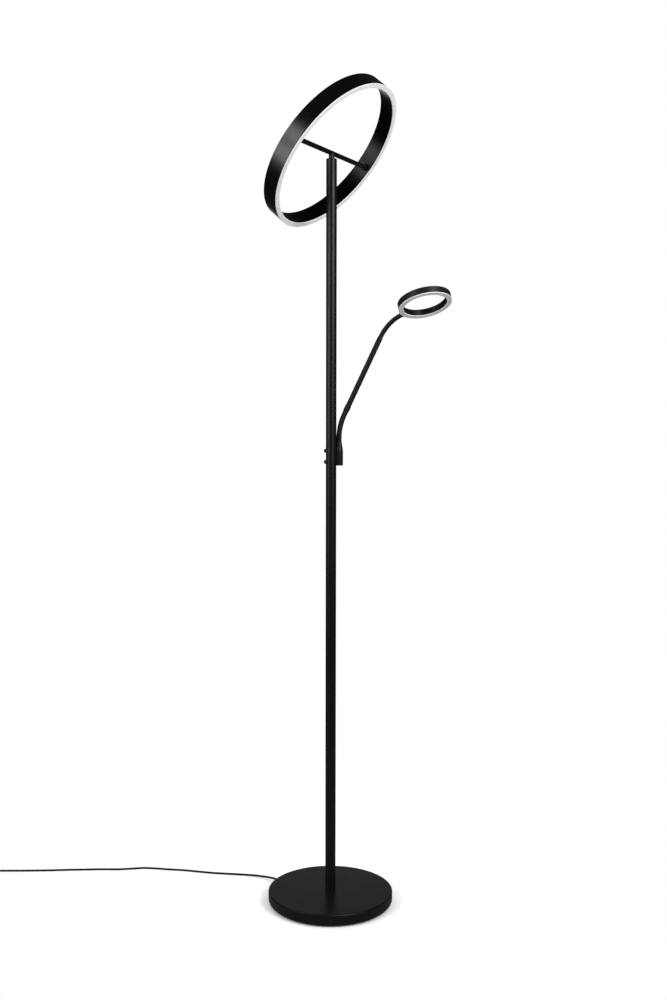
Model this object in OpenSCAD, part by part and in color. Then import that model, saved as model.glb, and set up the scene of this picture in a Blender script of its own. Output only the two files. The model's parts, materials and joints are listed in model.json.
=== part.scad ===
// LED torchiere floor lamp: a ring head that tilts on a rod through its middle,
// and a small ring reading light on a bendable arm halfway up the pole.
// Millimetres. Z is up, the floor is at Z = 0 and the pole stands on the Z axis.
// X points to the side that carries the reading arm, -Y to the front.

/* [Base] */
// Diameter of the round base
base_d = 272; // [240:2:320]
// Height of the base above the floor, feet included
base_h = 29; // [27:1:40]
// Radius of the upper edge of the base
base_top_r = 2.3; // [1:0.1:4]
// Radius of the tucked-in lower edge of the base
base_low_r = 10; // [6:0.5:12]
// Sheet thickness of the base cover
cover_wall = 1.5; // [1:0.1:2]
// Thickness of the bottom plate
plate_t = 1.5; // [1:0.1:2.5]
// Height of the rubber feet
foot_h = 2; // [1.5:0.1:4]
// Diameter of the rubber feet
foot_d = 20; // [12:1:28]
// Distance from the edge of the base to the middle of a foot
foot_inset = 28; // [24:1:60]

/* [Base fixing] */
// Diameter of the hollow stud that ties pole and weight together
stud_d = 10; // [8:0.5:12]
// Bore of the hollow stud, for the wires
stud_bore = 7; // [5:0.5:7.5]
// Width of the stud nut across its corners
nut_d = 20; // [16:1:26]
// Height of the stud nut
nut_h = 5; // [4:0.5:8]
// Diameter of the washer under the weight
washer_d = 26; // [22:1:34]
// Thickness of the washer
washer_t = 1.6; // [1:0.2:3]
// Length of the threaded bush in the foot of the pole
bush_len = 25; // [16:1:40]

/* [LED driver in the base] */
// Length of the driver case
driver_len = 84; // [60:1:90]
// Width of the driver case
driver_w = 36; // [24:1:44]
// Height of the driver case
driver_h = 16; // [10:1:18]
// Distance from the pole to the middle of the driver case
driver_out = 66; // [58:1:72]

/* [Pole] */
// Outer diameter of the pole
pole_d = 22.5; // [20:0.5:26]
// Wall of the pole tubes
pole_wall = 1.2; // [0.8:0.1:2]
// Length of the lower pole tube
pole_low_len = 423; // [300:1:500]
// Length of the middle pole tube
pole_mid_len = 423; // [300:1:500]
// Length of the upper pole tube, which carries arm and head
pole_up_len = 728; // [500:1:900]
// Length of the connectors inside the pole
joint_len = 40; // [24:2:60]
// Thickness of the flange of the top cap
cap_t = 3; // [2:0.5:6]
// Depth of the top cap inside the pole
cap_depth = 15; // [10:1:24]

/* [Ring head] */
// Outer diameter of the big ring
ring_d = 348; // [300:2:400]
// Width of the big ring's light face, across its two walls
ring_w = 10.5; // [9:0.5:20]
// Depth of the big ring along its axis, diffuser included
ring_depth = 37.4; // [30:0.1:44]
// Distance from the rod's axis to the back of the big ring
ring_back = 20; // [14:0.1:24]
// Wall of both ring housings
ring_wall = 1.2; // [1:0.1:2]
// How far the diffusers stand proud of their housings
lens_proud = 2; // [1:0.1:3]
// Turn of the head about the pole, as it stands
head_turn = 63.9; // [-180:0.1:180]
// Tilt of the big ring about its rod, as it stands
head_tilt = 50.2; // [0:0.1:75]
// Diameter of the rod across the big ring
rod_d = 10; // [8:0.1:10]
// Bore of the rod, for the wires
rod_bore = 6; // [3:0.1:7]
// Height of the rod's axis above the top cap
rod_rise = 11.6; // [9:0.1:20]
// Diameter of the stem between pole and rod
stem_d = 12; // [11:0.1:14]
// Diameter of the stem's pivot inside the top cap
pivot_d = 9; // [8:0.1:10]
// Wire bore of the stem
stem_bore = 4.5; // [3:0.1:5]
// Diameter of the bosses in which the ring turns on the rod
boss_d = 15; // [13:0.5:18]
// Length of those bosses
boss_len = 8; // [5:0.5:12]

/* [Reading arm] */
// Height of the arm block above the foot of the upper pole tube
block_rise = 87; // [40:1:300]
// Distance from the pole's axis to the arm's foot
arm_out = 17.4; // [17.3:0.1:20]
// Turn of the arm block about the pole, with its bolts and buttons
block_turn = 15; // [-180:1:180]
// Diameter of the arm block
block_d = 17.5; // [15:0.1:20]
// Height of the straight part of the arm block
block_h = 32; // [30:1:40]
// Height of the tapered part of the arm block
block_cone_h = 17; // [15:1:30]
// Diameter of the lower bendable neck
neck_d = 11.4; // [9:0.1:11.4]
// Depth of the neck's foot in the arm block
neck_depth = 13; // [10:1:14]
// Straight part of the neck above the arm block
neck_rise = 8; // [4:1:20]
// Swivel of the arm at its foot, as it stands
arm_turn = -5; // [-60:1:60]
// Bend of the lower neck, as it stands
low_bend = 25.4; // [6:0.1:40]
// Radius of the lower neck's bend
low_bend_r = 123; // [90:1:200]
// Length of the straight part between the two bends
tube_len = 181; // [120:1:240]
// Diameter of the rigid tube between the two bends
tube_d = 11.5; // [11.4:0.1:12.5]
// Bore of the rigid tube
tube_bore = 7; // [5:0.1:8]
// Diameter of the collar at the foot of the rigid tube
collar_d = 12.8; // [12.7:0.1:13]
// Length of that collar
collar_len = 13; // [8:1:20]
// Distance from the lower bend to that collar
collar_up = 7; // [2:1:12]
// Diameter of the upper bendable neck
tip_d = 10.2; // [8:0.1:10.4]
// Bend of the upper neck, as it stands
up_bend = 53; // [16:0.1:80]
// Radius of the upper neck's bend
up_bend_r = 71; // [60:1:160]
// Direction of the upper bend about the tube, towards the front
bend_turn = 59.4; // [0:0.1:90]
// Straight end of the upper neck, up to the small ring
tip_len = 10; // [6:0.5:25]

/* [Reading light] */
// Outer diameter of the small ring
small_d = 113.2; // [90:0.1:150]
// Width of the small ring's light face, across its two walls
small_w = 10.6; // [10:0.1:18]
// Depth of the small ring along its axis, diffuser included
small_depth = 15.8; // [12.5:0.1:20]
// Turn of the small ring about the end of its neck
small_turn = 12.7; // [-60:0.1:60]
// Diameter of the ferrule where the neck meets the small ring
ferrule_d = 11.6; // [11.4:0.1:12.4]
// Length of that ferrule
ferrule_len = 5; // [3:0.5:7]

/* [Push buttons] */
// Diameter of the button's bezel
bezel_d = 8.8; // [8.6:0.1:11]
// Height of the bezel on the pole
bezel_h = 2; // [1:0.1:3]
// Diameter of the button
button_d = 6.6; // [5:0.1:6.8]
// How far the button stands proud of its bezel
button_proud = 2.3; // [1.6:0.1:4]
// Length of the button inside its bolt
button_depth = 7; // [5:0.5:8]
// Travel of the button
button_travel = 1.2; // [0.6:0.1:1.4]
// Diameter of the bolt's shank round the button
shank_d = 8.2; // [8:0.1:8.4]
// Diameter of the bolt's thread, which holds the arm block
bolt_d = 5; // [4:0.5:6]
// Height of the lower button above the foot of the arm block
button_rise = 8; // [7:0.5:12]
// Distance between the two buttons
button_pitch = 23.6; // [16:0.1:30]

/* [Mains cord] */
// Diameter of the mains cord
cord_d = 4.6; // [4:0.1:5]
// Length of the tapered strain relief outside the base
relief_len = 22; // [20:1:40]
// Diameter of the strain relief at the base
relief_d = 7.4; // [6:0.1:8]
// Height of the strain relief's axis above the floor
relief_z = 9; // [8.5:0.1:11]
// Direction in which the cord leaves the base
relief_turn = 140; // [0:1:360]
// Diameter of the coil of spare cord, at the middle of its turns
coil_mid_d = 48; // [44:1:60]
// Turns that lie beside each other in the coil
coil_rows = 3; // [2:1:4]
// Layers of turns in the coil
coil_layers = 4; // [2:2:4]
// Width of the plug
plug_w = 35; // [28:1:40]
// Thickness of the plug
plug_t = 13.6; // [12:0.2:18]
// Length of the plug's body
plug_len = 34; // [30:1:44]
// Diameter of the plug's pins
pin_d = 4; // [3.5:0.1:4.8]
// Length of the plug's pins
pin_len = 19; // [16:0.5:20]
// Distance between the plug's pins
pin_pitch = 18.6; // [17:0.1:19.5]

/* [Hidden] */
$fn = 96;

black = [0.05, 0.05, 0.055];
rubber_black = [0.09, 0.09, 0.09];
opal = [0.93, 0.93, 0.95];
steel = [0.62, 0.63, 0.65];
cast = [0.22, 0.22, 0.23];
board_white = [0.88, 0.9, 0.88];

fit = 0.05;         // radial clearance of a piece seated in a bore
slack = 0.3;        // running clearance between pieces that move on each other
lap = 1;            // how far the straight end of a neck reaches into its bend
seat_gap = 0.2;     // clearance under a shoulder that turns
cut = 1;            // overshoot of cutting tools
edge_r = 0.7;       // rounding of small turned and moulded edges
wire_d = 4;         // hole for the wires to the reading light

// Heights of the pole's seams, its top and the rod
low_z = base_h;
mid_z = low_z + pole_low_len;
up_z = mid_z + pole_mid_len;
top_z = up_z + pole_up_len;
cap_top_z = top_z + cap_t;
rod_z = cap_top_z + rod_rise;

// Inside of the base
base_r = base_d / 2;
foot_circle_r = base_r - foot_inset;
cover_h = base_h - foot_h;
plate_r = base_r - base_low_r - slack;
weight_z = foot_h + plate_t;
weight_top_z = base_h - cover_wall;
inner_r = base_r - cover_wall;
inner_top_r = max(0.3, base_top_r - cover_wall);
inner_low_r = base_low_r - cover_wall;
nut_room = 1.5;     // room under the nut, above the bottom plate
washer_z = weight_z + nut_room + nut_h;
recess_d = washer_d + 2;
stud_low_z = weight_z + nut_room / 2;
stud_top_z = base_h + bush_len - 2;
case_corner_r = 3;

// Pole fittings
pole_in_d = pole_d - 2 * pole_wall;
insert_d = pole_in_d - 2 * fit;
joint_bore = 12;

// Ring head
ring_in_r = ring_d / 2 - ring_w;
ring_front = ring_depth - ring_back;
cap_edge_r = 2;
stem_edge_r = 1.6;
stem_grip = 3.5;    // how far the stem reaches above the rod's axis
stem_top_z = rod_z + stem_grip;
boss_foot_r = ring_in_r - ring_sag(boss_d);
rod_len = 2 * (boss_foot_r - slack);
stem_washer_d = 16;
stem_washer_t = 1.2;
stem_nut_d = 16;
stem_nut_h = 5;
stem_nut_z = top_z - cap_depth - seat_gap - stem_washer_t - stem_nut_h;

// Reading arm
block_z = up_z + block_rise;
block_top_z = block_z + block_h + block_cone_h;
neck_z = block_top_z + neck_rise;
block_mouth_d = neck_d + 1;
low_step = low_bend / 6;
up_step = up_bend / 8;
neck_grip = 12;     // length of a neck's end inside the rigid tube
tube_at = collar_up + collar_len / 2;
tube_taper = 4;

// Buttons
button_low_z = block_z + button_rise;
button_up_z = button_low_z + button_pitch;
button_floor_z = -button_depth - button_travel - 0.5;
bolt_grip = 7;      // how far a bolt reaches into the arm block
bolt_end_z = -pole_d - bolt_grip;
button_edge_r = 1.2;

// Mains cord
relief_tip_d = cord_d + 1;
relief_root = 14;   // length of the strain relief inside the base
relief_room = 3;    // room round it in the weight
flange_t = 2;
flange_d = relief_d + 3;
wall_x = base_r - base_low_r;
coil_at = [-820, 140];
plug_x = coil_at[0] - coil_mid_d / 2 - cord_d;
plug_relief_len = 20;
plug_relief_d = 8.6;
plug_drop = 11;     // from the middle of the coil back to the tip of the plug's strain relief
plug_y = coil_at[1] - plug_drop - plug_relief_len;
plug_rear_w = 15;
plug_front = 14;
plug_edge_r = 3;

// The cord's way from the tip of the strain relief to the coil
CORD_ROUTE = [
    [-121, 101.5, 9], [-130, 109, 8.8], [-141, 118, 7.6], [-156, 129, 5.4], [-177, 140, 3.5],
    [-205, 147, 2.5], [-240, 152, 2.3], [-275, 157, 2.3], [-310, 165, 2.3], [-345, 173, 2.3],
    [-380, 178, 2.3], [-415, 184, 2.3], [-442, 186, 2.3], [-470, 181.5, 2.3], [-500, 178, 2.3],
    [-540, 178, 2.3], [-580, 176, 2.3], [-620, 174, 2.3], [-660, 171, 2.3], [-710, 169.2, 2.3],
    [-760, 168.6, 2.3], [-805, 168.6, 2.3]];
cord_sides = 8;
rings_per_step = 3;

// A point on the smooth curve through the route, after Catmull and Rom
function route_point(i) = CORD_ROUTE[max(0, min(len(CORD_ROUTE) - 1, i))];
function blend_point(a, b, c, d, t) =
    0.5 * (2 * b + (c - a) * t + (2 * a - 5 * b + 4 * c - d) * t * t + (3 * b - a - 3 * c + d) * t * t * t);
function smooth_route() = [
    for (i = [0 : len(CORD_ROUTE) - 2], s = [0 : rings_per_step - 1])
        blend_point(route_point(i - 1), route_point(i), route_point(i + 1), route_point(i + 2),
            s / rings_per_step),
    route_point(len(CORD_ROUTE) - 1)];
function unit(v) = v / norm(v);
function heading(path, i) = unit(path[min(len(path) - 1, i + 1)] - path[max(0, i - 1)]);
function ring_points(at, dir, r, n) =
    let (side = unit(cross([0, 0, 1], dir)), up = cross(dir, side))
    [for (k = [0 : n - 1]) at + r * (cos(360 * (k + 0.5) / n) * side + sin(360 * (k + 0.5) / n) * up)];

// One closed tube along a path of points
module swept_tube(path, r, n) {
    last = len(path) - 1;
    points = [for (i = [0 : last]) each ring_points(path[i], heading(path, i), r, n)];
    walls = [for (i = [0 : last - 1], k = [0 : n - 1])
        [i * n + k, (i + 1) * n + k, (i + 1) * n + (k + 1) % n, i * n + (k + 1) % n]];
    start = [[for (k = [0 : n - 1]) k]];
    end = [[for (k = [n - 1 : -1 : 0]) last * n + k]];
    polyhedron(points, concat(start, walls, end), convexity = 10);
}

// Rectangle with its corner at the origin and four rounded corners
module soft_rect(w, h, r) {
    translate([r, 0]) square([w - 2 * r, h]);
    translate([0, r]) square([w, h - 2 * r]);
    for (x = [r, w - r], y = [r, h - r]) translate([x, y]) circle(r, $fn = 32);
}

// Half outline of a turned piece: its upper edge is rounded, or both edges are
module turned(d, h, r = edge_r, both = false) {
    intersection() {
        square([d / 2, h]);
        translate([-d / 2, both ? 0 : -h]) soft_rect(d, both ? h : 2 * h, r);
    }
}

// Half outline of a disc with a top edge radius and a larger lower edge radius
module disc_outline(r, h, top_r, low_r) {
    square([r - low_r, h - top_r]);
    square([r - max(low_r, top_r), h]);
    translate([0, low_r]) square([r, h - low_r - top_r]);
    translate([0, low_r]) square([r - top_r, h - low_r]);
    translate([r - low_r, low_r]) circle(low_r);
    translate([r - top_r, h - top_r]) circle(top_r, $fn = 48);
}

// A round bar bent by an angle, from the origin along +Z and over towards +X
module bent_bar(radius, angle, d) {
    translate([radius, 0, 0]) rotate([90, 0, 180])
        rotate_extrude(angle = angle) translate([radius, 0]) circle(d = d, $fn = 48);
}

// Moves its children along such a bend
module along_bend(radius, angle) {
    translate([radius, 0, 0]) rotate([0, angle, 0]) translate([-radius, 0, 0]) children();
}

// One piece of a bendable neck: a socket at its start and a ball at its end
module neck_piece(radius, angle, d, socket = true, ball = true) {
    difference() {
        bent_bar(radius, angle, d);
        if (socket) sphere(d / 2 + slack, $fn = 48);
    }
    if (ball) along_bend(radius, angle) sphere(d / 2 - slack / 2, $fn = 48);
}

// Frames of the reading arm, from the block to the small ring
module on_block(z) {
    rotate([0, 0, block_turn]) translate([arm_out, 0, z]) children();
}
module on_neck(angle) {
    on_block(neck_z) rotate([0, 0, arm_turn]) along_bend(low_bend_r, angle) children();
}
module on_tube(distance) {
    on_neck(low_bend) translate([0, 0, distance]) children();
}
module on_tip(angle) {
    on_tube(tube_len) rotate([0, 0, -bend_turn]) along_bend(up_bend_r, angle) children();
}
module on_small_ring() {
    on_tip(up_bend) translate([0, 0, tip_len]) rotate([0, 0, small_turn]) rotate([0, -90, 0])
        translate([small_d / 2, 0, 0]) children();
}
// Frame of the big ring: the rod along X, the light face towards -Z
module on_ring() {
    translate([0, 0, rod_z]) rotate([0, 0, head_turn]) rotate([-head_tilt, 0, 0]) children();
}

// Frame of a push button: its axis along +Z, out of the pole on the side away from the arm
module on_button(z) {
    rotate([0, 0, block_turn]) translate([-pole_d / 2, 0, z]) rotate([0, -90, 0]) children();
}

// Frame of the strain relief, at a distance from the pole: its axis along +Z
module on_relief(distance) {
    rotate([0, 0, relief_turn]) translate([distance, 0, relief_z]) rotate([0, 90, 0]) children();
}

// Channel of a ring lamp, open towards -Z, from z = -front to z = back
module ring_channel(outer_r, w, front, back) {
    rotate_extrude() translate([outer_r - w, -front + lens_proud]) difference() {
        soft_rect(w, front + back - lens_proud, edge_r);
        translate([ring_wall, -cut])
            square([w - 2 * ring_wall, front + back - lens_proud - ring_wall + cut]);
    }
}

// Board with the LEDs, under the back of the channel
module ring_board(outer_r, w, back) {
    board_w = w - 2 * ring_wall - 2 * slack;
    board_t = 1.6;
    rotate_extrude() translate([outer_r - w / 2 - board_w / 2, back - ring_wall - board_t])
        square([board_w, board_t]);
}

// Opal diffuser: a rounded face on two ribs that hold in the channel
module ring_lens(outer_r, w, front) {
    rib_t = 1.2;
    rib_h = 4;
    rib_in = ring_wall + fit;
    rotate_extrude() translate([outer_r - w, -front]) {
        soft_rect(w, lens_proud, edge_r);
        for (x = [rib_in, w - rib_in - rib_t]) translate([x, lens_proud - edge_r]) square([rib_t, rib_h]);
    }
}

module base_cover() {
    color(black) difference() {
        translate([0, 0, foot_h]) rotate_extrude() difference() {
            disc_outline(base_r, cover_h, base_top_r, base_low_r);
            translate([0, cover_wall])
                disc_outline(inner_r, cover_h - 2 * cover_wall, inner_top_r, inner_low_r);
            translate([0, -cut]) square([wall_x, cut + 2 * cover_wall]);
        }
        cylinder(d = stud_d + 2 * fit, h = base_h + cut);
        on_relief(wall_x) cylinder(d = relief_d + 2 * fit, h = base_low_r + cut);
    }
}

module base_weight() {
    pocket_w = driver_w + 2 * slack;
    pocket_len = driver_len + 2 * slack;
    relief_w = relief_d + 2 * relief_room;
    relief_len_in = relief_root + relief_room;
    color(cast) difference() {
        translate([0, 0, weight_z]) rotate_extrude()
            disc_outline(inner_r - slack, weight_top_z - weight_z, base_top_r, inner_low_r);
        cylinder(d = stud_d + 2 * fit, h = base_h);
        cylinder(d = recess_d, h = washer_z + washer_t);
        translate([driver_out - pocket_len / 2, -pocket_w / 2, 0])
            cube([pocket_len, pocket_w, weight_z + driver_h + slack]);
        rotate([0, 0, relief_turn]) translate([wall_x - relief_len_in, -relief_w / 2, 0])
            cube([relief_len_in + base_low_r, relief_w, relief_z + relief_w / 2]);
    }
}

module base_plate() {
    color(black) translate([0, 0, foot_h]) cylinder(r = plate_r, h = plate_t);
}

module foot(turn, out = foot_circle_r) {
    color(rubber_black) rotate([0, 0, turn]) translate([out, 0, 0])
        rotate_extrude() turned(foot_d, foot_h, both = true);
}

module base_stud() {
    stud_len = stud_top_z - stud_low_z;
    color(steel) translate([0, 0, stud_low_z]) difference() {
        cylinder(d = stud_d, h = stud_len);
        translate([0, 0, -cut]) cylinder(d = stud_bore, h = stud_len + 2 * cut);
    }
}

module base_nut() {
    color(steel) translate([0, 0, washer_z - nut_h]) difference() {
        cylinder(d = nut_d, h = nut_h, $fn = 6);
        translate([0, 0, -cut]) cylinder(d = stud_d + 2 * fit, h = nut_h + 2 * cut);
    }
}

module base_washer() {
    color(steel) translate([0, 0, washer_z]) difference() {
        cylinder(d = washer_d, h = washer_t);
        translate([0, 0, -cut]) cylinder(d = stud_d + 2 * fit, h = washer_t + 2 * cut);
    }
}

module driver_case() {
    color(black) translate([driver_out - driver_len / 2, -driver_w / 2, weight_z])
        linear_extrude(driver_h) soft_rect(driver_len, driver_w, case_corner_r);
}

module pole_tube(z, len) {
    translate([0, 0, z]) difference() {
        cylinder(d = pole_d, h = len);
        translate([0, 0, -cut]) cylinder(d = pole_in_d, h = len + 2 * cut);
    }
}

module pole_lower() { color(black) pole_tube(low_z, pole_low_len); }
module pole_middle() { color(black) pole_tube(mid_z, pole_mid_len); }
module pole_upper() {
    color(black) difference() {
        pole_tube(up_z, pole_up_len);
        for (z = [button_low_z, button_up_z]) {
            on_button(z) translate([0, 0, -pole_d / 2]) cylinder(d = shank_d + 2 * fit, h = pole_d);
            on_button(z) translate([0, 0, bolt_end_z]) cylinder(d = bolt_d + 2 * fit, h = pole_d);
        }
    }
}

// Sleeve inside the pole
module pole_insert(z, len, bore) {
    translate([0, 0, z]) difference() {
        cylinder(d = insert_d, h = len);
        translate([0, 0, -cut]) cylinder(d = bore, h = len + 2 * cut);
    }
}

module pole_bush() { color(steel) pole_insert(low_z, bush_len, stud_d + 2 * fit); }
module pole_joint_lower() { color(steel) pole_insert(mid_z - joint_len / 2, joint_len, joint_bore); }
module pole_joint_upper() { color(steel) pole_insert(up_z - joint_len / 2, joint_len, joint_bore); }

module pole_cap() {
    color(black) difference() {
        union() {
            translate([0, 0, top_z - cap_depth]) cylinder(d = insert_d, h = cap_depth);
            translate([0, 0, top_z]) rotate_extrude() turned(pole_d, cap_t, cap_edge_r);
        }
        translate([0, 0, top_z - cap_depth - cut])
            cylinder(d = pivot_d + 2 * fit, h = cap_depth + cap_t + 2 * cut);
    }
}

// Stem that turns in the cap and carries the rod in a cross bore, open at the top
module head_stem() {
    shoulder_z = cap_top_z + seat_gap;
    pivot_z = stem_nut_z - 2;
    color(black) difference() {
        union() {
            translate([0, 0, shoulder_z])
                rotate_extrude() turned(stem_d, stem_top_z - shoulder_z, stem_edge_r);
            translate([0, 0, pivot_z]) cylinder(d = pivot_d, h = shoulder_z - pivot_z + cut);
        }
        on_ring() rotate([0, 90, 0]) cylinder(d = rod_d + 2 * fit, h = 2 * stem_d, center = true);
        translate([0, 0, pivot_z - cut]) cylinder(d = stem_bore, h = rod_z - pivot_z + cut);
    }
}

module stem_washer() {
    color(steel) translate([0, 0, stem_nut_z + stem_nut_h]) difference() {
        cylinder(d = stem_washer_d, h = stem_washer_t);
        translate([0, 0, -cut]) cylinder(d = pivot_d + 2 * fit, h = stem_washer_t + 2 * cut);
    }
}

module stem_nut() {
    color(steel) translate([0, 0, stem_nut_z]) difference() {
        cylinder(d = stem_nut_d, h = stem_nut_h, $fn = 6);
        translate([0, 0, -cut]) cylinder(d = pivot_d + 2 * fit, h = stem_nut_h + 2 * cut);
    }
}

// How far the ring's inner wall falls back behind a round end that touches it
function ring_sag(d) = ring_in_r - sqrt(ring_in_r * ring_in_r - d * d / 4);

module cross_rod() {
    color(black) on_ring() rotate([0, 90, 0]) translate([0, 0, -rod_len / 2]) difference() {
        cylinder(d = rod_d, h = rod_len, $fn = 64);
        translate([0, 0, -cut]) cylinder(d = rod_bore, h = rod_len + 2 * cut);
    }
}

// Turned boss on the inner wall of the ring: it turns on an end of the rod
module rod_boss(turn) {
    color(black) on_ring() rotate([0, 0, turn]) translate([boss_foot_r, 0, 0])
        rotate([0, -90, 0]) difference() {
            rotate_extrude() turned(boss_d, boss_len);
            translate([0, 0, -cut]) cylinder(d = rod_d + 2 * slack, h = boss_len + 2 * cut);
        }
}

module ring_housing() {
    color(black) on_ring() difference() {
        ring_channel(ring_d / 2, ring_w, ring_front, ring_back);
        for (turn = [0, 180]) rotate([0, 0, turn]) translate([ring_in_r - cut, 0, 0])
            rotate([0, 90, 0]) cylinder(d = rod_bore, h = ring_wall + 2 * cut);
    }
}

module ring_led_board() { color(board_white) on_ring() ring_board(ring_d / 2, ring_w, ring_back); }
module ring_diffuser() { color(opal) on_ring() ring_lens(ring_d / 2, ring_w, ring_front); }

// Slim tapered block, hollowed to sit against the pole, with the socket of the arm
module arm_block() {
    color(black) difference() {
        on_block(block_z) rotate_extrude() {
            turned(block_d, block_h, both = true);
            polygon([[0, block_h - edge_r], [block_d / 2, block_h - edge_r],
                [block_mouth_d / 2, block_h + block_cone_h], [0, block_h + block_cone_h]]);
        }
        translate([0, 0, block_z - cut]) cylinder(d = pole_d + 2 * fit, h = block_top_z);
        on_block(block_top_z - neck_depth) cylinder(d = neck_d + 2 * fit, h = neck_depth + cut);
        for (z = [button_low_z, button_up_z])
            on_button(z) translate([0, 0, bolt_end_z - cut])
                cylinder(d = bolt_d + 2 * fit, h = bolt_grip + 2 * cut);
    }
}

// Hollow bolt through the pole: it carries a push button and pulls the arm block on
module switch_bolt(z) {
    shank_z = button_floor_z - cover_wall;
    color(black) on_button(z) difference() {
        union() {
            rotate_extrude() turned(bezel_d, bezel_h);
            translate([0, 0, shank_z]) cylinder(d = shank_d, h = bezel_h / 2 - shank_z);
            translate([0, 0, bolt_end_z]) cylinder(d = bolt_d, h = -bolt_end_z);
        }
        translate([0, 0, button_floor_z])
            cylinder(d = button_d + 2 * fit, h = bezel_h + cut - button_floor_z);
    }
}

module push_button(z) {
    color(black) on_button(z) translate([0, 0, -button_depth])
        rotate_extrude() turned(button_d, button_depth + bezel_h + button_proud, button_edge_r);
}

module neck_foot() {
    color(black) {
        on_block(block_top_z - neck_depth + seat_gap)
            cylinder(d = neck_d - 2 * fit, h = neck_depth - seat_gap + neck_rise + lap);
        on_neck(0) neck_piece(low_bend_r, low_step, neck_d, socket = false);
    }
}

module neck_link_low(count) {
    color(black) on_neck((2 * count - 1) * low_step) neck_piece(low_bend_r, 2 * low_step, neck_d);
}

// End of the lower neck, with its spigot in the rigid tube
module neck_low_end() {
    color(black) {
        on_neck(5 * low_step) neck_piece(low_bend_r, low_step, neck_d, ball = false);
        on_tube(-lap) cylinder(d = neck_d - 2 * fit, h = lap + tube_at);
        on_tube(0) cylinder(d = tube_bore - 2 * fit, h = tube_at + neck_grip);
    }
}

module arm_collar() {
    color(black) on_tube(collar_up) difference() {
        rotate_extrude() turned(collar_d, collar_len, both = true);
        translate([0, 0, -cut]) cylinder(d = neck_d + 2 * fit, h = collar_len);
        translate([0, 0, collar_len / 2]) cylinder(d = tube_d + 2 * fit, h = collar_len);
    }
}

module arm_tube() {
    straight = tube_len - tube_at - tube_taper;
    color(black) on_tube(tube_at) difference() {
        union() {
            cylinder(d = tube_d, h = straight, $fn = 48);
            translate([0, 0, straight])
                cylinder(d1 = tube_d, d2 = tip_d + 2 * slack, h = tube_taper, $fn = 48);
        }
        translate([0, 0, -cut]) cylinder(d = tube_bore, h = tube_len + cut, $fn = 48);
    }
}

module neck_up_start() {
    color(black) {
        on_tube(tube_len - neck_grip) cylinder(d = tube_bore - 2 * fit, h = neck_grip + lap);
        on_tip(0) neck_piece(up_bend_r, up_step, tip_d, socket = false);
    }
}

module neck_link_up(count) {
    color(black) on_tip((2 * count - 1) * up_step) neck_piece(up_bend_r, 2 * up_step, tip_d);
}

module neck_tip() {
    color(black) {
        on_tip(7 * up_step) neck_piece(up_bend_r, up_step, tip_d, ball = false);
        on_tip(up_bend) translate([0, 0, -lap]) cylinder(d = tip_d - 2 * fit, h = lap + tip_len - fit);
    }
}

// Ferrule round the end of the neck, shaped to the ring's outer wall
module tip_ferrule() {
    color(black) difference() {
        on_tip(up_bend) translate([0, 0, tip_len - ferrule_len])
            cylinder(d = ferrule_d, h = ferrule_len + lap);
        on_tip(up_bend) translate([0, 0, -ferrule_len])
            cylinder(d = tip_d + 2 * fit, h = ferrule_len + tip_len + lap + cut);
        on_small_ring() cylinder(d = small_d + 2 * fit, h = 2 * ferrule_d, center = true);
    }
}

module small_housing() {
    color(black) on_small_ring() difference() {
        ring_channel(small_d / 2, small_w, small_depth / 2, small_depth / 2);
        translate([-small_d / 2 - cut, 0, 0])
            rotate([0, 90, 0]) cylinder(d = wire_d, h = ring_wall + 2 * cut);
    }
}

module small_led_board() {
    color(board_white) on_small_ring() ring_board(small_d / 2, small_w, small_depth / 2);
}
module small_diffuser() { color(opal) on_small_ring() ring_lens(small_d / 2, small_w, small_depth / 2); }

module cord_relief() {
    color(rubber_black) {
        on_relief(wall_x - relief_root) cylinder(d = flange_d, h = flange_t);
        on_relief(wall_x - relief_root) cylinder(d = relief_d, h = relief_root + base_low_r);
        on_relief(base_r) cylinder(d1 = relief_d, d2 = relief_tip_d, h = relief_len);
    }
}

module cord() { color(rubber_black) swept_tube(smooth_route(), cord_d / 2, cord_sides); }

module cord_coil() {
    bundle_w = coil_rows * cord_d;
    color(rubber_black) translate([coil_at[0], coil_at[1], 0]) rotate_extrude()
        translate([coil_mid_d / 2 - bundle_w / 2, 0]) soft_rect(bundle_w, coil_layers * cord_d, cord_d / 2);
}

// Flat two-pin plug that lies on the floor beside the coil, pins towards -Y
module plug_body() {
    color(rubber_black) translate([plug_x, plug_y, plug_t / 2]) {
        intersection() {
            rotate([180, 0, 0]) linear_extrude(plug_t, center = true) polygon([
                [-plug_rear_w / 2, 0], [plug_rear_w / 2, 0], [plug_w / 2, plug_len - plug_front],
                [plug_w / 2, plug_len], [-plug_w / 2, plug_len], [-plug_w / 2, plug_len - plug_front]]);
            rotate([90, 0, 0]) linear_extrude(plug_len + cut) translate([-plug_w / 2, -plug_t / 2])
                soft_rect(plug_w, plug_t, plug_edge_r);
        }
        rotate([-90, 0, 0]) cylinder(d1 = plug_relief_d, d2 = relief_tip_d, h = plug_relief_len);
    }
}

module plug_pin(side) {
    color(steel) translate([plug_x + side * pin_pitch / 2, plug_y - plug_len, plug_t / 2])
        rotate([90, 0, 0]) rotate_extrude() {
            square([pin_d / 2, pin_len - pin_d / 2]);
            intersection() {
                translate([0, pin_len - pin_d / 2]) circle(d = pin_d, $fn = 32);
                square([pin_d, pin_len]);
            }
        }
}

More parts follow.
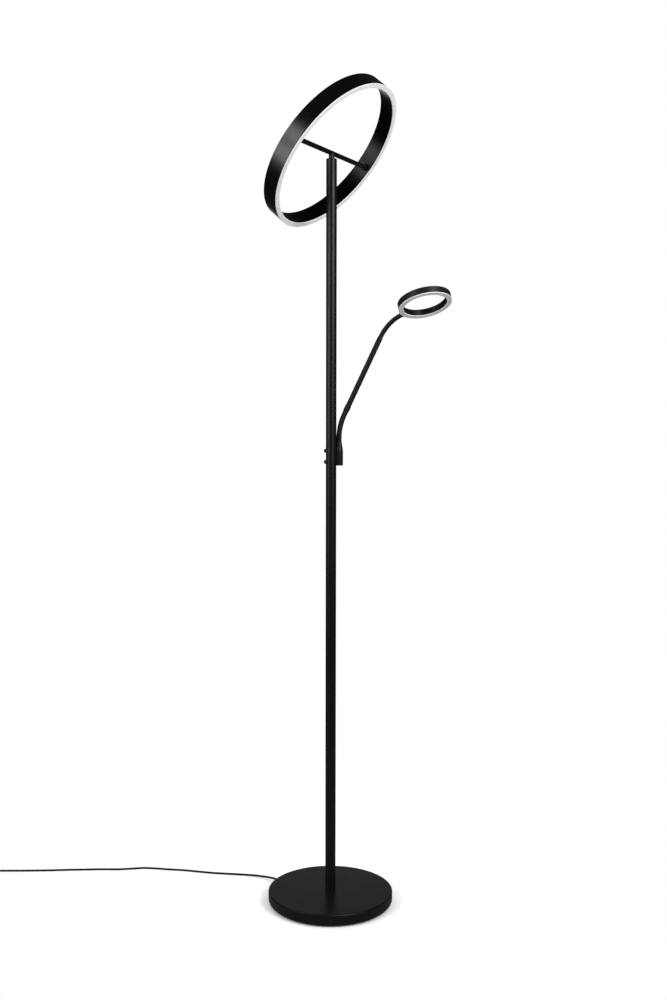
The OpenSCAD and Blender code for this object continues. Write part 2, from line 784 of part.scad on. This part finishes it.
base_cover();
base_weight();
base_plate();
foot(45);  // foot_1
foot(135);  // foot_2
foot(225);  // foot_3
foot(315);  // foot_4
foot(0, 0);  // foot_5
base_stud();
base_nut();
base_washer();
driver_case();
pole_bush();
pole_lower();
pole_middle();
pole_upper();
pole_joint_lower();
pole_joint_upper();
pole_cap();
arm_block();
switch_bolt(button_low_z);  // switch_bolt_lower
switch_bolt(button_up_z);  // switch_bolt_upper
push_button(button_low_z);  // button_lower
push_button(button_up_z);  // button_upper
head_stem();
stem_washer();
stem_nut();
cross_rod();
rod_boss(180);  // rod_boss_left
rod_boss(0);  // rod_boss_right
ring_housing();
ring_led_board();
ring_diffuser();
neck_foot();
neck_link_low(1);  // neck_link_1
neck_link_low(2);  // neck_link_2
neck_low_end();
arm_collar();
arm_tube();
neck_up_start();
neck_link_up(1);  // neck_link_3
neck_link_up(2);  // neck_link_4
neck_link_up(3);  // neck_link_5
neck_tip();
tip_ferrule();
small_housing();
small_led_board();
small_diffuser();
cord_relief();
cord();
cord_coil();
plug_body();
plug_pin(-1);  // plug_pin_1
plug_pin(1);  // plug_pin_2
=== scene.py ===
import json
import math

import bmesh
import bpy
from mathutils import Matrix, Vector


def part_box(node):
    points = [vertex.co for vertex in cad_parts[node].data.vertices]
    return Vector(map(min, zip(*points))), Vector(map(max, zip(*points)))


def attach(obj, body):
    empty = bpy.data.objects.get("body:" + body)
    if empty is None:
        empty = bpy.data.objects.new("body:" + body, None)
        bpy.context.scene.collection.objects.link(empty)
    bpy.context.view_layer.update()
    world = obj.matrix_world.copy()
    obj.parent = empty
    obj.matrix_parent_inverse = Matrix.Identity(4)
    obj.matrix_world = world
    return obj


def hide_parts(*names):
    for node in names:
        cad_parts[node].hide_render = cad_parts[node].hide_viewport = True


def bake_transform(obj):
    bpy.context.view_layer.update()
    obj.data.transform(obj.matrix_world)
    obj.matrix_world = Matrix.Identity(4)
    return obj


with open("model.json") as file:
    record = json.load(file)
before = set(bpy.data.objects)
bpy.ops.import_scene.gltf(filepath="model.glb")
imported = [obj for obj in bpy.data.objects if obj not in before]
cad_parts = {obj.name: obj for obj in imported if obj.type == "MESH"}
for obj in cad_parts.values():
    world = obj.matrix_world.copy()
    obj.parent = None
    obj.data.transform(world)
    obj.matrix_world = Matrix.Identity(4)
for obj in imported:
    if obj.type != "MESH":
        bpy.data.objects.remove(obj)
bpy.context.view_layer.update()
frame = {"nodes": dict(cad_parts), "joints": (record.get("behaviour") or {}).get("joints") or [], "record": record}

NODES = frame["nodes"]


# --------------------------------------------------------------------------
# Camera
# --------------------------------------------------------------------------

CAMERA_AT = Vector((0, -2.5655, 1.0923))
CAMERA_DOWN = math.radians(4.553)
CAMERA_RIGHT = math.radians(0.119)
CAMERA_ROLL = math.radians(0.105)
CAMERA_LENS = 43.2


def make_camera():
    ahead = Vector((
        math.sin(CAMERA_RIGHT) * math.cos(CAMERA_DOWN),
        math.cos(CAMERA_RIGHT) * math.cos(CAMERA_DOWN),
        -math.sin(CAMERA_DOWN)))
    level = Vector((math.cos(CAMERA_RIGHT), -math.sin(CAMERA_RIGHT), 0))
    above = level.cross(ahead)
    right = level * math.cos(CAMERA_ROLL) + above * math.sin(CAMERA_ROLL)
    up = above * math.cos(CAMERA_ROLL) - level * math.sin(CAMERA_ROLL)
    data = bpy.data.cameras.new("camera")
    data.lens = CAMERA_LENS
    data.sensor_width = 36
    data.clip_start = 0.05
    data.clip_end = 60
    camera = bpy.data.objects.new("camera", data)
    bpy.context.scene.collection.objects.link(camera)
    turn = Matrix((right, up, -ahead)).transposed().to_4x4()
    camera.matrix_world = Matrix.Translation(CAMERA_AT) @ turn
    bpy.context.scene.camera = camera


make_camera()


# --------------------------------------------------------------------------
# Mesh helpers
# --------------------------------------------------------------------------

def add_mesh(name, points, faces):
    """A smooth-shaded object from points and faces."""
    mesh = bpy.data.meshes.new(name)
    mesh.from_pydata([tuple(p) for p in points], [], faces)
    mesh.update()
    for face in mesh.polygons:
        face.use_smooth = True
    piece = bpy.data.objects.new(name, mesh)
    bpy.context.scene.collection.objects.link(piece)
    return piece


def tube(name, path, radii, sides):
    """A closed tube along a path, with its own radius at each point; its rings don't twist on the way."""
    points = []
    faces = []
    last = len(path) - 1
    side = None
    for i, at in enumerate(path):
        ahead = (path[min(last, i + 1)] - path[max(0, i - 1)]).normalized()
        if side is None:
            side = ahead.orthogonal().normalized()
        side = (side - ahead * side.dot(ahead)).normalized()
        across = ahead.cross(side)
        for k in range(sides):
            a = 2 * math.pi * k / sides
            points.append(at + radii[i] * (math.cos(a) * side + math.sin(a) * across))
    for i in range(last):
        for k in range(sides):
            m = (k + 1) % sides
            faces.append((i * sides + k, i * sides + m, (i + 1) * sides + m, (i + 1) * sides + k))
    faces.append(tuple(reversed(range(sides))))
    faces.append(tuple(last * sides + k for k in range(sides)))
    return add_mesh(name, points, faces)


def blend_point(a, b, c, d, t):
    """A point on the smooth curve from b to c, after Catmull and Rom."""
    squared = 2 * a - 5 * b + 4 * c - d
    cubed = 3 * b - a - 3 * c + d
    return 0.5 * (2 * b + (c - a) * t + squared * t * t + cubed * t ** 3)


def smooth_line(points, steps):
    """The smooth curve through points, with a number of steps from each to the next."""
    line = []
    last = len(points) - 1
    for i in range(last):
        a, b = points[max(0, i - 1)], points[i]
        c, d = points[i + 1], points[min(last, i + 2)]
        line += [blend_point(a, b, c, d, s / steps) for s in range(steps)]
    return line + [points[last]]


def step_up(t):
    """A smooth rise from 0 to 1 while t runs from 0 to 1."""
    t = min(1, max(0, t))
    return t * t * (3 - 2 * t)


# --------------------------------------------------------------------------
# Mains cord with its coil, its ties and its strain relief
# --------------------------------------------------------------------------

CORD_D = 0.0046
# The cord's way over the floor, from the base to its coil
CORD_ROUTE = [
    (-0.121, 0.1015, 0.009), (-0.130, 0.109, 0.0088), (-0.141, 0.118, 0.0076), (-0.156, 0.129, 0.0054),
    (-0.177, 0.140, 0.0035), (-0.205, 0.147, 0.0025), (-0.240, 0.152, 0.0023), (-0.275, 0.157, 0.0023),
    (-0.310, 0.165, 0.0023), (-0.345, 0.173, 0.0023), (-0.380, 0.178, 0.0023), (-0.415, 0.184, 0.0023),
    (-0.442, 0.186, 0.0023), (-0.470, 0.1815, 0.0023), (-0.500, 0.178, 0.0023), (-0.540, 0.178, 0.0023),
    (-0.580, 0.176, 0.0023), (-0.620, 0.174, 0.0023), (-0.660, 0.171, 0.0023), (-0.710, 0.1692, 0.0023),
    (-0.760, 0.1686, 0.0023), (-0.805, 0.1686, 0.0023)]
ROUTE_STEPS = 6
CORD_SIDES = 20

COIL_LAYERS = 4
# Turns in each layer, and points in each turn
COIL_TURNS = 2
COIL_STEPS = 40
# Share of a turn in which the cord climbs to the next layer
COIL_RISE = 0.3
# How far the coil lies from the middle of its solid, towards the base
COIL_ASIDE = 0.005
# Degrees round the coil at which its turns start and end
COIL_FROM = 90

# Degrees round the coil between which the lead to the plug runs, and its step
LEAD_FROM = 10
LEAD_TO = 180
LEAD_STEP = 5
# Where the lead starts to come down, and in how many degrees it does
LEAD_DROP_FROM = 80
LEAD_DROP = 95


def coil_line(centre, outer_r):
    """Turns that wind in on the floor, out on top of them and so on, a cord's diameter apart."""
    line = []
    for layer in range(COIL_LAYERS):
        inwards = layer % 2 == 0
        for i in range(COIL_TURNS * COIL_STEPS):
            turns = i / COIL_STEPS
            hold = 0 if layer == 0 else COIL_RISE
            moved = max(0, turns - hold) * COIL_TURNS / (COIL_TURNS - hold)
            wound = moved if inwards else COIL_TURNS - moved
            rise = 0 if layer == 0 else step_up(turns / COIL_RISE) - 1
            angle = math.radians(COIL_FROM) + 2 * math.pi * (turns + layer * COIL_TURNS)
            line.append(Vector((
                centre.x + (outer_r - CORD_D * wound) * math.cos(angle),
                centre.y + (outer_r - CORD_D * wound) * math.sin(angle),
                CORD_D * (layer + rise + 0.5))))
    return line


def lead_line(centre, leave, plug_end):
    """From the top of the coil out past its side, down beside it, and straight into the plug."""
    line = []
    start_r = math.hypot(leave.x - centre.x, leave.y - centre.y)
    clear_r = centre.x - plug_end.x
    for degrees in range(LEAD_FROM + LEAD_STEP, LEAD_TO + 1, LEAD_STEP):
        angle = math.radians(degrees)
        out = step_up((degrees - LEAD_FROM) / (COIL_FROM - LEAD_FROM))
        down = step_up((degrees - LEAD_DROP_FROM) / LEAD_DROP)
        r = start_r + (clear_r - start_r) * out
        line.append(Vector((
            centre.x + r * math.cos(angle),
            centre.y + r * math.sin(angle),
            leave.z + (plug_end.z - leave.z) * down)))
    return line + [plug_end]


def make_cord():
    """The cord in one piece: over the floor, through its coil, and on to the plug."""
    coil_lo, coil_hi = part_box("cord_coil")
    plug_lo, plug_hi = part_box("plug_body")
    centre = Vector(((coil_lo.x + coil_hi.x) / 2 + COIL_ASIDE, (coil_lo.y + coil_hi.y) / 2, 0))
    outer_r = (coil_hi.x - coil_lo.x) / 2 - CORD_D / 2
    plug_end = Vector(((plug_lo.x + plug_hi.x) / 2, plug_hi.y, (plug_lo.z + plug_hi.z) / 2))
    coil = coil_line(centre, outer_r)
    given_to_lead = round(COIL_STEPS * (COIL_FROM - LEAD_FROM) / 360)
    coil = coil[:len(coil) - given_to_lead]
    over_floor = smooth_line([Vector(p) for p in CORD_ROUTE], ROUTE_STEPS)
    line = over_floor + coil + lead_line(centre, coil[-1], plug_end)
    cord = tube("mains_cord", line, [CORD_D / 2] * len(line), CORD_SIDES)
    return cord, line, centre, outer_r


cord, cord_line, coil_centre, coil_outer_r = make_cord()


TIE_R = 0.0009
TIE_STEPS = 28
TIE_FROM = -10
TIE_SIDES = 10


def squarer(x):
    """Makes a circle's sine or cosine that of a rounded square."""
    return math.copysign(abs(x) ** 0.5, x)


def make_tie(name, angle):
    """A wire tie: a loop that hugs the coil's bundle and lies flat on the floor below it."""
    reach = COIL_TURNS * CORD_D / 2 + CORD_D / 2 + TIE_R
    height = COIL_LAYERS * CORD_D / 2
    out = Vector((math.cos(angle), math.sin(angle), 0))
    middle = coil_centre + out * (coil_outer_r - COIL_TURNS * CORD_D / 2) + Vector((0, 0, height))
    loop = []
    for k in range(TIE_STEPS + 1):
        a = math.radians(TIE_FROM + 360 * k / TIE_STEPS)
        across = reach * squarer(math.cos(a))
        up = (height + TIE_R) * squarer(math.sin(a))
        loop.append(middle + out * across + Vector((0, 0, max(up, TIE_R - height))))
    return tube(name, loop, [TIE_R] * len(loop), TIE_SIDES)


cord_ties = [make_tie("cord_tie_a", math.radians(250)), make_tie("cord_tie_b", math.radians(345))]


RELIEF_ROOT_R = 0.0037
RELIEF_TIP_R = 0.0028
# Its length inside the base, where it doesn't taper
RELIEF_INSIDE = 0.012
RELIEF_GROOVES = 5
RELIEF_GROOVE_DEPTH = 0.0006
# Where the grooves start, and the length without grooves at both ends together
RELIEF_GROOVES_FROM = 0.014
RELIEF_PLAIN = 0.016
RELIEF_STEPS = 96
RELIEF_SIDES = 40


def make_relief():
    """The strain relief: a tapered sleeve with grooves round it."""
    root = Vector(CORD_ROUTE[0])
    out = Vector((root.x, root.y, 0)).normalized()
    lo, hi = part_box("base_cover")
    base_r = (hi.x - lo.x) / 2
    inner = Vector((0, 0, root.z)) + out * (base_r - RELIEF_INSIDE)
    length = (root - inner).length
    path, radii = [], []
    for i in range(RELIEF_STEPS + 1):
        along = i / RELIEF_STEPS * length
        taper = max(0, along - RELIEF_INSIDE) / (length - RELIEF_INSIDE)
        r = RELIEF_ROOT_R + (RELIEF_TIP_R - RELIEF_ROOT_R) * taper
        wave = (along - RELIEF_GROOVES_FROM) / (length - RELIEF_PLAIN) * RELIEF_GROOVES
        if 0 < wave < RELIEF_GROOVES:
            r -= RELIEF_GROOVE_DEPTH * max(0, math.sin(math.pi * (wave % 1))) ** 6
        path.append(inner + out * along)
        radii.append(r)
    return tube("strain_relief", path, radii, RELIEF_SIDES)


strain_relief = make_relief()
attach(cord, "stand")
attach(strain_relief, "stand")
for tie in cord_ties:
    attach(tie, "stand")
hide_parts("cord", "cord_coil")
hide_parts("cord_relief")


# --------------------------------------------------------------------------
# Sleeves of the two bendable necks
# --------------------------------------------------------------------------

JOINTS = {joint["name"]: joint for joint in frame["joints"]}


class Arc:
    """The circle through the hinges of a neck; a step of 1 leads from one hinge to the next."""

    def __init__(self, hinges):
        a, b, c = (Vector(JOINTS[name]["pos_m"]) for name in hinges[:3])
        normal = (b - a).cross(c - b).normalized()
        mid_ab, mid_bc = (a + b) / 2, (b + c) / 2
        to_centre = normal.cross(b - a).normalized()
        bc = (c - b).normalized()
        reach = (mid_bc - mid_ab).dot(bc) / to_centre.dot(bc)
        self.centre = mid_ab + to_centre * reach
        self.normal = normal
        self.first = a - self.centre
        self.radius = self.first.length
        self.step = self.first.angle(b - self.centre)

    def at(self, steps):
        """Point at a number of steps from where the neck begins, half a step before its first hinge."""
        turn = Matrix.Rotation((steps - 0.5) * self.step, 3, self.normal)
        return self.centre + turn @ self.first

    def heading(self, steps):
        """Direction of the neck at that point."""
        turn = Matrix.Rotation((steps - 0.5) * self.step, 3, self.normal)
        return self.normal.cross(turn @ self.first).normalized()

    def length(self, steps):
        """Length of the neck over a number of steps."""
        return self.radius * self.step * steps


RIDGE_PITCH = 0.0026
RIDGE_DEPTH = 0.00016
RING_STEP = 0.0004
SLEEVE_SIDES = 36


def neck_sleeve(name, arc, first, last, radius, nodes, before=0, after=0):
    """Sleeve over one hinge, from mid-link to mid-link, plus any straight stretch before and after it."""
    bend = arc.length(last - first)
    total = before + bend + after
    count = round(total / RING_STEP)
    path, radii = [], []
    for i in range(count + 1):
        along = total * i / count - before
        if along < 0:
            at = arc.at(first) + arc.heading(first) * along
        elif along > bend:
            at = arc.at(last) + arc.heading(last) * (along - bend)
        else:
            at = arc.at(first + (last - first) * along / bend)
        wave = math.cos(2 * math.pi * (arc.length(first) + along) / RIDGE_PITCH)
        path.append(at)
        radii.append(radius - RIDGE_DEPTH * (0.5 - 0.5 * wave) ** 2)
    piece = tube(name, path, radii, SLEEVE_SIDES)
    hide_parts(*nodes)
    arc.at(first)
    arc.at(last)
    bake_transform(piece)
    return piece


def pipe_radius(node, arc):
    """Radius of a link, from the distance of its skin to the neck's own circle."""
    mesh = NODES[node].data
    best = 0
    for vertex in mesh.vertices:
        out = vertex.co - arc.centre
        height = out.dot(arc.normal)
        best = max(best, math.hypot(height, (out - arc.normal * height).length - arc.radius))
    return best


low_arc = Arc(["low_bend_1", "low_bend_2", "low_bend_3"])
up_arc = Arc(["up_bend_1", "up_bend_2", "up_bend_3"])
low_r = pipe_radius("neck_link_1", low_arc)
up_r = pipe_radius("neck_link_3", up_arc)
neck_sleeves = [
    neck_sleeve("low_sleeve_1", low_arc, 0, 1, low_r, ["neck_foot"], before=0.014),
    neck_sleeve("low_sleeve_2", low_arc, 1, 2, low_r, ["neck_link_1"]),
    neck_sleeve("low_sleeve_3", low_arc, 2, 3, low_r, ["neck_link_2", "neck_low_end"],
                after=0.010),
    neck_sleeve("up_sleeve_1", up_arc, 0, 1, up_r, ["neck_up_start"], before=0.001),
    neck_sleeve("up_sleeve_2", up_arc, 1, 2, up_r, ["neck_link_3"]),
    neck_sleeve("up_sleeve_3", up_arc, 2, 3, up_r, ["neck_link_4"]),
    neck_sleeve("up_sleeve_4", up_arc, 3, 4, up_r, ["neck_link_5", "neck_tip"],
                after=0.0095)]


# --------------------------------------------------------------------------
# Materials
# --------------------------------------------------------------------------

class Look:
    """A material with a Principled shader, and short calls for the nodes that vary it."""

    def __init__(self, name, colour, roughness, specular=0.5, metallic=0.0):
        self.material = bpy.data.materials.new(name)
        self.material.use_nodes = True
        self.tree = self.material.node_tree
        self.shader = self.tree.nodes["Principled BSDF"]
        self.colour = colour
        self.roughness = roughness
        self.shader.inputs["Base Color"].default_value = (*colour, 1)
        self.shader.inputs["Roughness"].default_value = roughness
        self.shader.inputs["Specular IOR Level"].default_value = specular
        self.shader.inputs["Metallic"].default_value = metallic
        self.place = self.node("ShaderNodeTexCoord").outputs["Object"]
        self.height = None

    def node(self, kind, **settings):
        made = self.tree.nodes.new(kind)
        for key, value in settings.items():
            setattr(made, key, value)
        return made

    def link(self, a, b):
        self.tree.links.new(a, b)

    def noise(self, scale, detail=2.0, roughness=0.5):
        made = self.node("ShaderNodeTexNoise")
        self.link(self.place, made.inputs["Vector"])
        made.inputs["Scale"].default_value = scale
        made.inputs["Detail"].default_value = detail
        made.inputs["Roughness"].default_value = roughness
        return made.outputs["Fac"]

    def remap(self, value, low, high, to_low, to_high):
        made = self.node("ShaderNodeMapRange")
        self.link(value, made.inputs["Value"])
        for key, number in zip(("From Min", "From Max", "To Min", "To Max"), (low, high, to_low, to_high)):
            made.inputs[key].default_value = number
        return made.outputs["Result"]

    def vary_colour(self, value, darker, lighter):
        """Colour that runs from a darker to a lighter share of the base colour."""
        made = self.node("ShaderNodeMix", data_type="RGBA")
        self.link(value, made.inputs["Factor"])
        made.inputs["A"].default_value = (*(c * darker for c in self.colour), 1)
        made.inputs["B"].default_value = (*(min(1, c * lighter) for c in self.colour), 1)
        self.link(made.outputs["Result"], self.shader.inputs["Base Color"])

    def scale_colour(self, share):
        """Dims the colour, as it is so far, to a share that may differ from place to place."""
        made = self.node("ShaderNodeVectorMath", operation="SCALE")
        self.link(self.shader.inputs["Base Color"].links[0].from_socket, made.inputs[0])
        self.link(share, made.inputs["Scale"])
        self.link(made.outputs["Vector"], self.shader.inputs["Base Color"])

    def vary_roughness(self, value, spread):
        low, high = self.roughness - spread, self.roughness + spread
        self.link(self.remap(value, 0.3, 0.7, low, high), self.shader.inputs["Roughness"])

    def bump(self, value, distance, strength=1.0):
        """Fine relief; a second call lies on top of the first."""
        made = self.node("ShaderNodeBump")
        made.inputs["Strength"].default_value = strength
        made.inputs["Distance"].default_value = distance
        self.link(value, made.inputs["Height"])
        if self.height is not None:
            self.link(self.height, made.inputs["Normal"])
        self.height = made.outputs["Normal"]
        self.link(self.height, self.shader.inputs["Normal"])


# Scales of the noise that both coatings share: orange peel, fine grain, and uneven sheen
PEEL = 420
GRAIN = 2600
CLOUD = 24


def powder_coat(name, colour, roughness, specular):
    """Baked powder coat: orange peel under a fine grain, and a slightly uneven sheen."""
    look = Look(name, colour, roughness, specular)
    grain = look.noise(GRAIN, 3.0, 0.6)
    look.vary_colour(look.remap(grain, 0.35, 0.65, 0, 1), 0.8, 1.3)
    look.vary_roughness(look.noise(CLOUD, 3.0), 0.03)
    look.bump(look.noise(PEEL, 2.0), 0.000016)
    look.bump(grain, 0.000006)
    return look.material


def facing_out(look, node):
    """A value above zero on the outer wall of a ring, and below zero on its inner wall."""
    lo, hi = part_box(node)
    outwards = look.node("ShaderNodeVectorMath", operation="SUBTRACT")
    look.link(look.place, outwards.inputs[0])
    outwards.inputs[1].default_value = (lo + hi) / 2
    facing = look.node("ShaderNodeVectorMath", operation="DOT_PRODUCT")
    look.link(outwards.outputs["Vector"], facing.inputs[0])
    look.link(look.node("ShaderNodeTexCoord").outputs["Normal"], facing.inputs[1])
    return facing.outputs["Value"]


def anodised_ring(node, colour, painted_inner_shade, roughness, metallic):
    """Black anodised aluminium of a ring's housing, with painted shade that dims the colour of its inner wall, and
    so its reflection, to a given share.
    """
    look = Look("black_ring_" + node, colour, roughness, 0.5, metallic)
    grain = look.noise(GRAIN, 3.0, 0.6)
    look.vary_colour(look.remap(grain, 0.35, 0.65, 0, 1), 0.9, 1.1)
    # Painted shade: the inner wall's colour is dimmed to a share, standing in for the shade inside the ring
    look.scale_colour(look.remap(facing_out(look, node), -0.02, 0.02, painted_inner_shade, 1))
    look.vary_roughness(look.noise(CLOUD, 3.0), 0.03)
    look.bump(look.noise(PEEL, 2.0), 0.00001)
    look.bump(grain, 0.000005)
    return look.material


def moulded_plastic(name, colour, roughness, specular):
    """Moulded plastic or rubber with a fine spark-eroded grain."""
    grain_size = 0.0006
    look = Look(name, colour, roughness, specular)
    grain = look.noise(1 / grain_size, 2.0)
    cloud = look.noise(60, 2.0)
    look.vary_colour(cloud, 0.85, 1.15)
    look.vary_roughness(cloud, 0.04)
    look.bump(grain, 0.00003, 0.5)
    return look.material


def opal_plastic(name, colour):
    """Milky diffuser: light goes a little way into it, and its face has a satin grain."""
    look = Look(name, colour, 0.42, 0.35)
    look.shader.inputs["Subsurface Weight"].default_value = 0.25
    look.shader.inputs["Subsurface Radius"].default_value = (0.003, 0.003, 0.003)
    look.vary_colour(look.noise(30, 2.0), 0.98, 1.0)
    return look.material


def plain_metal(name, colour, roughness):
    """Bare or plated metal with a fine grain."""
    look = Look(name, colour, roughness, 0.5, 1.0)
    grain = look.noise(900, 3.0, 0.6)
    look.vary_colour(look.noise(40, 3.0), 0.85, 1.08)
    look.vary_roughness(grain, 0.06)
    look.bump(grain, 0.00002, 0.4)
    return look.material


def cast_metal(name, colour):
    """Cast metal as it leaves the mould."""
    look = Look(name, colour, 0.7, 0.4, 0.6)
    rough = look.noise(300, 4.0, 0.65)
    look.vary_colour(look.noise(35, 4.0), 0.7, 1.3)
    look.vary_roughness(rough, 0.08)
    look.bump(rough, 0.0003, 0.7)
    return look.material


LOOKS = {
    "black_pole_paint": powder_coat("black_pole_paint", (0.0025, 0.0025, 0.0027), 0.39, 0.36),
    "black_neck_sleeve": moulded_plastic("black_neck_sleeve", (0.005, 0.005, 0.0053), 0.45, 0.3),
    "black_plastic": moulded_plastic("black_plastic", (0.005, 0.005, 0.0053), 0.4, 0.4),
    "opal_diffuser": opal_plastic("opal_diffuser", (0.87, 0.87, 0.885)),
    "led_board": moulded_plastic("led_board", (0.8, 0.82, 0.8), 0.5, 0.5),
    "zinc_steel": plain_metal("zinc_steel", (0.6, 0.6, 0.62), 0.35),
    "cast_weight": cast_metal("cast_weight", (0.1, 0.1, 0.1)),
    "foot_rubber": moulded_plastic("foot_rubber", (0.02, 0.02, 0.02), 0.75, 0.3),
    "cord_pvc": moulded_plastic("cord_pvc", (0.005, 0.005, 0.0053), 0.45, 0.3),
    "plug_pins": plain_metal("plug_pins", (0.72, 0.7, 0.66), 0.25)}

# The ring housings share a slot, but each has its own finish and its own share of painted shade on its inner wall
RING_LOOKS = {
    "ring_housing": anodised_ring("ring_housing", (0.042, 0.042, 0.043), 0.34, 0.27, 0.98),
    "small_housing": anodised_ring("small_housing", (0.045, 0.045, 0.046), 0.5, 0.34, 0.8)}


def dress(piece, material):
    piece.data.materials.clear()
    piece.data.materials.append(material)


for part in frame["record"]["subparts"]:
    node = part["node"]
    dress(NODES[node], RING_LOOKS[node] if node in RING_LOOKS else LOOKS[part["material_slot"]])
for piece in neck_sleeves:
    dress(piece, LOOKS["black_neck_sleeve"])
for piece in [cord, strain_relief, *cord_ties]:
    dress(piece, LOOKS["cord_pvc"])


# --------------------------------------------------------------------------
# Floor, world and lamps
# --------------------------------------------------------------------------

FLOOR_R = 1.6
# Colour of the lit floor, for light that bounces off it and for the eye
FLOOR_LIT = 0.2
FLOOR_SEEN = 1.25
# Glow of the floor in a reflection; to the eye it is 1
FLOOR_DIM = 0.12
# Distances from the pole between which the lit floor turns into plain white
FLOOR_LIT_TO = 0.14
FLOOR_WHITE_FROM = 0.5

# Strength of the world as fill light, and in a reflection
FILL = 0.6
STUDIO_DARK = 0.03
# How squarely a direction has to point backwards to meet the backdrop, at its edge and inside it
BACKDROP_EDGE = 0.95
BACKDROP_FULL = 0.995


def joined(tree, operation, a, b):
    """Two values joined by an operation, such as the larger of them."""
    made = tree.nodes.new("ShaderNodeMath")
    made.operation = operation
    tree.links.new(a, made.inputs[0])
    tree.links.new(b, made.inputs[1])
    return made.outputs[0]


def ranged(tree, value, **limits):
    """A value carried from one range to another; the limits that aren't given are 0 and 1."""
    made = tree.nodes.new("ShaderNodeMapRange")
    tree.links.new(value, made.inputs["Value"])
    for limit, number in limits.items():
        made.inputs[limit.replace("_", " ").title()].default_value = number
    return made


def seen_plainly(tree, rays):
    """1 for what the camera sees straight on or through a clear piece, and 0 for all other light."""
    return joined(tree, "MAXIMUM", rays.outputs["Is Camera Ray"], rays.outputs["Is Transmission Ray"])


def floor_material():
    """Lit near the lamp, to take its shadow, and plain white further out."""
    material = bpy.data.materials.new("floor")
    material.use_nodes = True
    tree = material.node_tree
    tree.nodes.clear()
    new = tree.nodes.new
    link = tree.links.new
    seen = seen_plainly(tree, new("ShaderNodeLightPath"))
    tone = new("ShaderNodeMix")
    tone.data_type = "RGBA"
    tone.inputs["A"].default_value = (FLOOR_LIT, FLOOR_LIT, FLOOR_LIT, 1)
    tone.inputs["B"].default_value = (FLOOR_SEEN, FLOOR_SEEN, FLOOR_SEEN, 1)
    link(seen, tone.inputs["Factor"])
    lit = new("ShaderNodeBsdfDiffuse")
    link(tone.outputs["Result"], lit.inputs["Color"])
    white = new("ShaderNodeEmission")
    glow = ranged(tree, seen, to_min=FLOOR_DIM)
    link(glow.outputs["Result"], white.inputs["Strength"])
    away = new("ShaderNodeVectorMath")
    away.operation = "LENGTH"
    link(new("ShaderNodeTexCoord").outputs["Object"], away.inputs[0])
    edge = ranged(tree, away.outputs["Value"], from_min=FLOOR_LIT_TO, from_max=FLOOR_WHITE_FROM)
    edge.interpolation_type = "SMOOTHSTEP"
    shader = new("ShaderNodeMixShader")
    link(edge.outputs["Result"], shader.inputs["Fac"])
    link(lit.outputs[0], shader.inputs[1])
    link(white.outputs[0], shader.inputs[2])
    link(shader.outputs[0], new("ShaderNodeOutputMaterial").inputs["Surface"])
    return material


def make_floor():
    """A round pale floor whose edge melts into the white background."""
    bm = bmesh.new()
    bmesh.ops.create_circle(bm, cap_ends=True, radius=FLOOR_R, segments=96)
    mesh = bpy.data.meshes.new("floor")
    bm.to_mesh(mesh)
    bm.free()
    floor = bpy.data.objects.new("floor", mesh)
    bpy.context.scene.collection.objects.link(floor)
    mesh.materials.append(floor_material())


def make_world():
    """White to the eye, dim to what reflects it, apart from the backdrop behind the lamp, white to both."""
    world = bpy.data.worlds.new("studio")
    bpy.context.scene.world = world
    world.use_nodes = True
    tree = world.node_tree
    tree.nodes.clear()
    new = tree.nodes.new
    link = tree.links.new
    rays = new("ShaderNodeLightPath")
    reflected = rays.outputs["Is Glossy Ray"]
    parts = new("ShaderNodeSeparateXYZ")
    link(new("ShaderNodeTexCoord").outputs["Generated"], parts.inputs[0])
    behind = ranged(tree, parts.outputs["Y"], from_min=BACKDROP_EDGE, from_max=BACKDROP_FULL)
    backdrop = joined(tree, "MULTIPLY", reflected, behind.outputs["Result"])
    seen = joined(tree, "MAXIMUM", seen_plainly(tree, rays), backdrop)
    dim = ranged(tree, reflected, to_min=FILL, to_max=STUDIO_DARK)
    level = ranged(tree, seen)
    link(dim.outputs["Result"], level.inputs["To Min"])
    glow = new("ShaderNodeBackground")
    glow.inputs["Color"].default_value = (1, 1, 1, 1)
    link(level.outputs["Result"], glow.inputs["Strength"])
    link(glow.outputs[0], new("ShaderNodeOutputWorld").inputs["Surface"])


SOFTBOX_AWAY = 2.6


def softbox(name, azimuth, height, width, tall, power):
    """An upright softbox beside the lamp; azimuth 0 is the camera's side, and positive is to its right."""
    data = bpy.data.lights.new(name, "AREA")
    data.shape = "RECTANGLE"
    data.size = width
    data.size_y = tall
    data.energy = power
    lamp = bpy.data.objects.new(name, data)
    bpy.context.scene.collection.objects.link(lamp)
    a = math.radians(azimuth)
    lamp.location = (SOFTBOX_AWAY * math.sin(a), -SOFTBOX_AWAY * math.cos(a), height)
    lamp.rotation_mode = "QUATERNION"
    lamp.rotation_quaternion = (Vector((0, 0, height)) - lamp.location).to_track_quat("-Z", "Y")
    lamp.visible_camera = False


make_floor()
make_world()
softbox("softbox_right", azimuth=43, height=2.5, width=1.3, tall=2.2, power=64)
softbox("softbox_left", azimuth=-46, height=1.9, width=0.9, tall=1.4, power=20)
softbox("softbox_low", azimuth=-67, height=1.35, width=0.9, tall=0.9, power=11)

bpy.context.scene.view_settings.view_transform = "Standard"
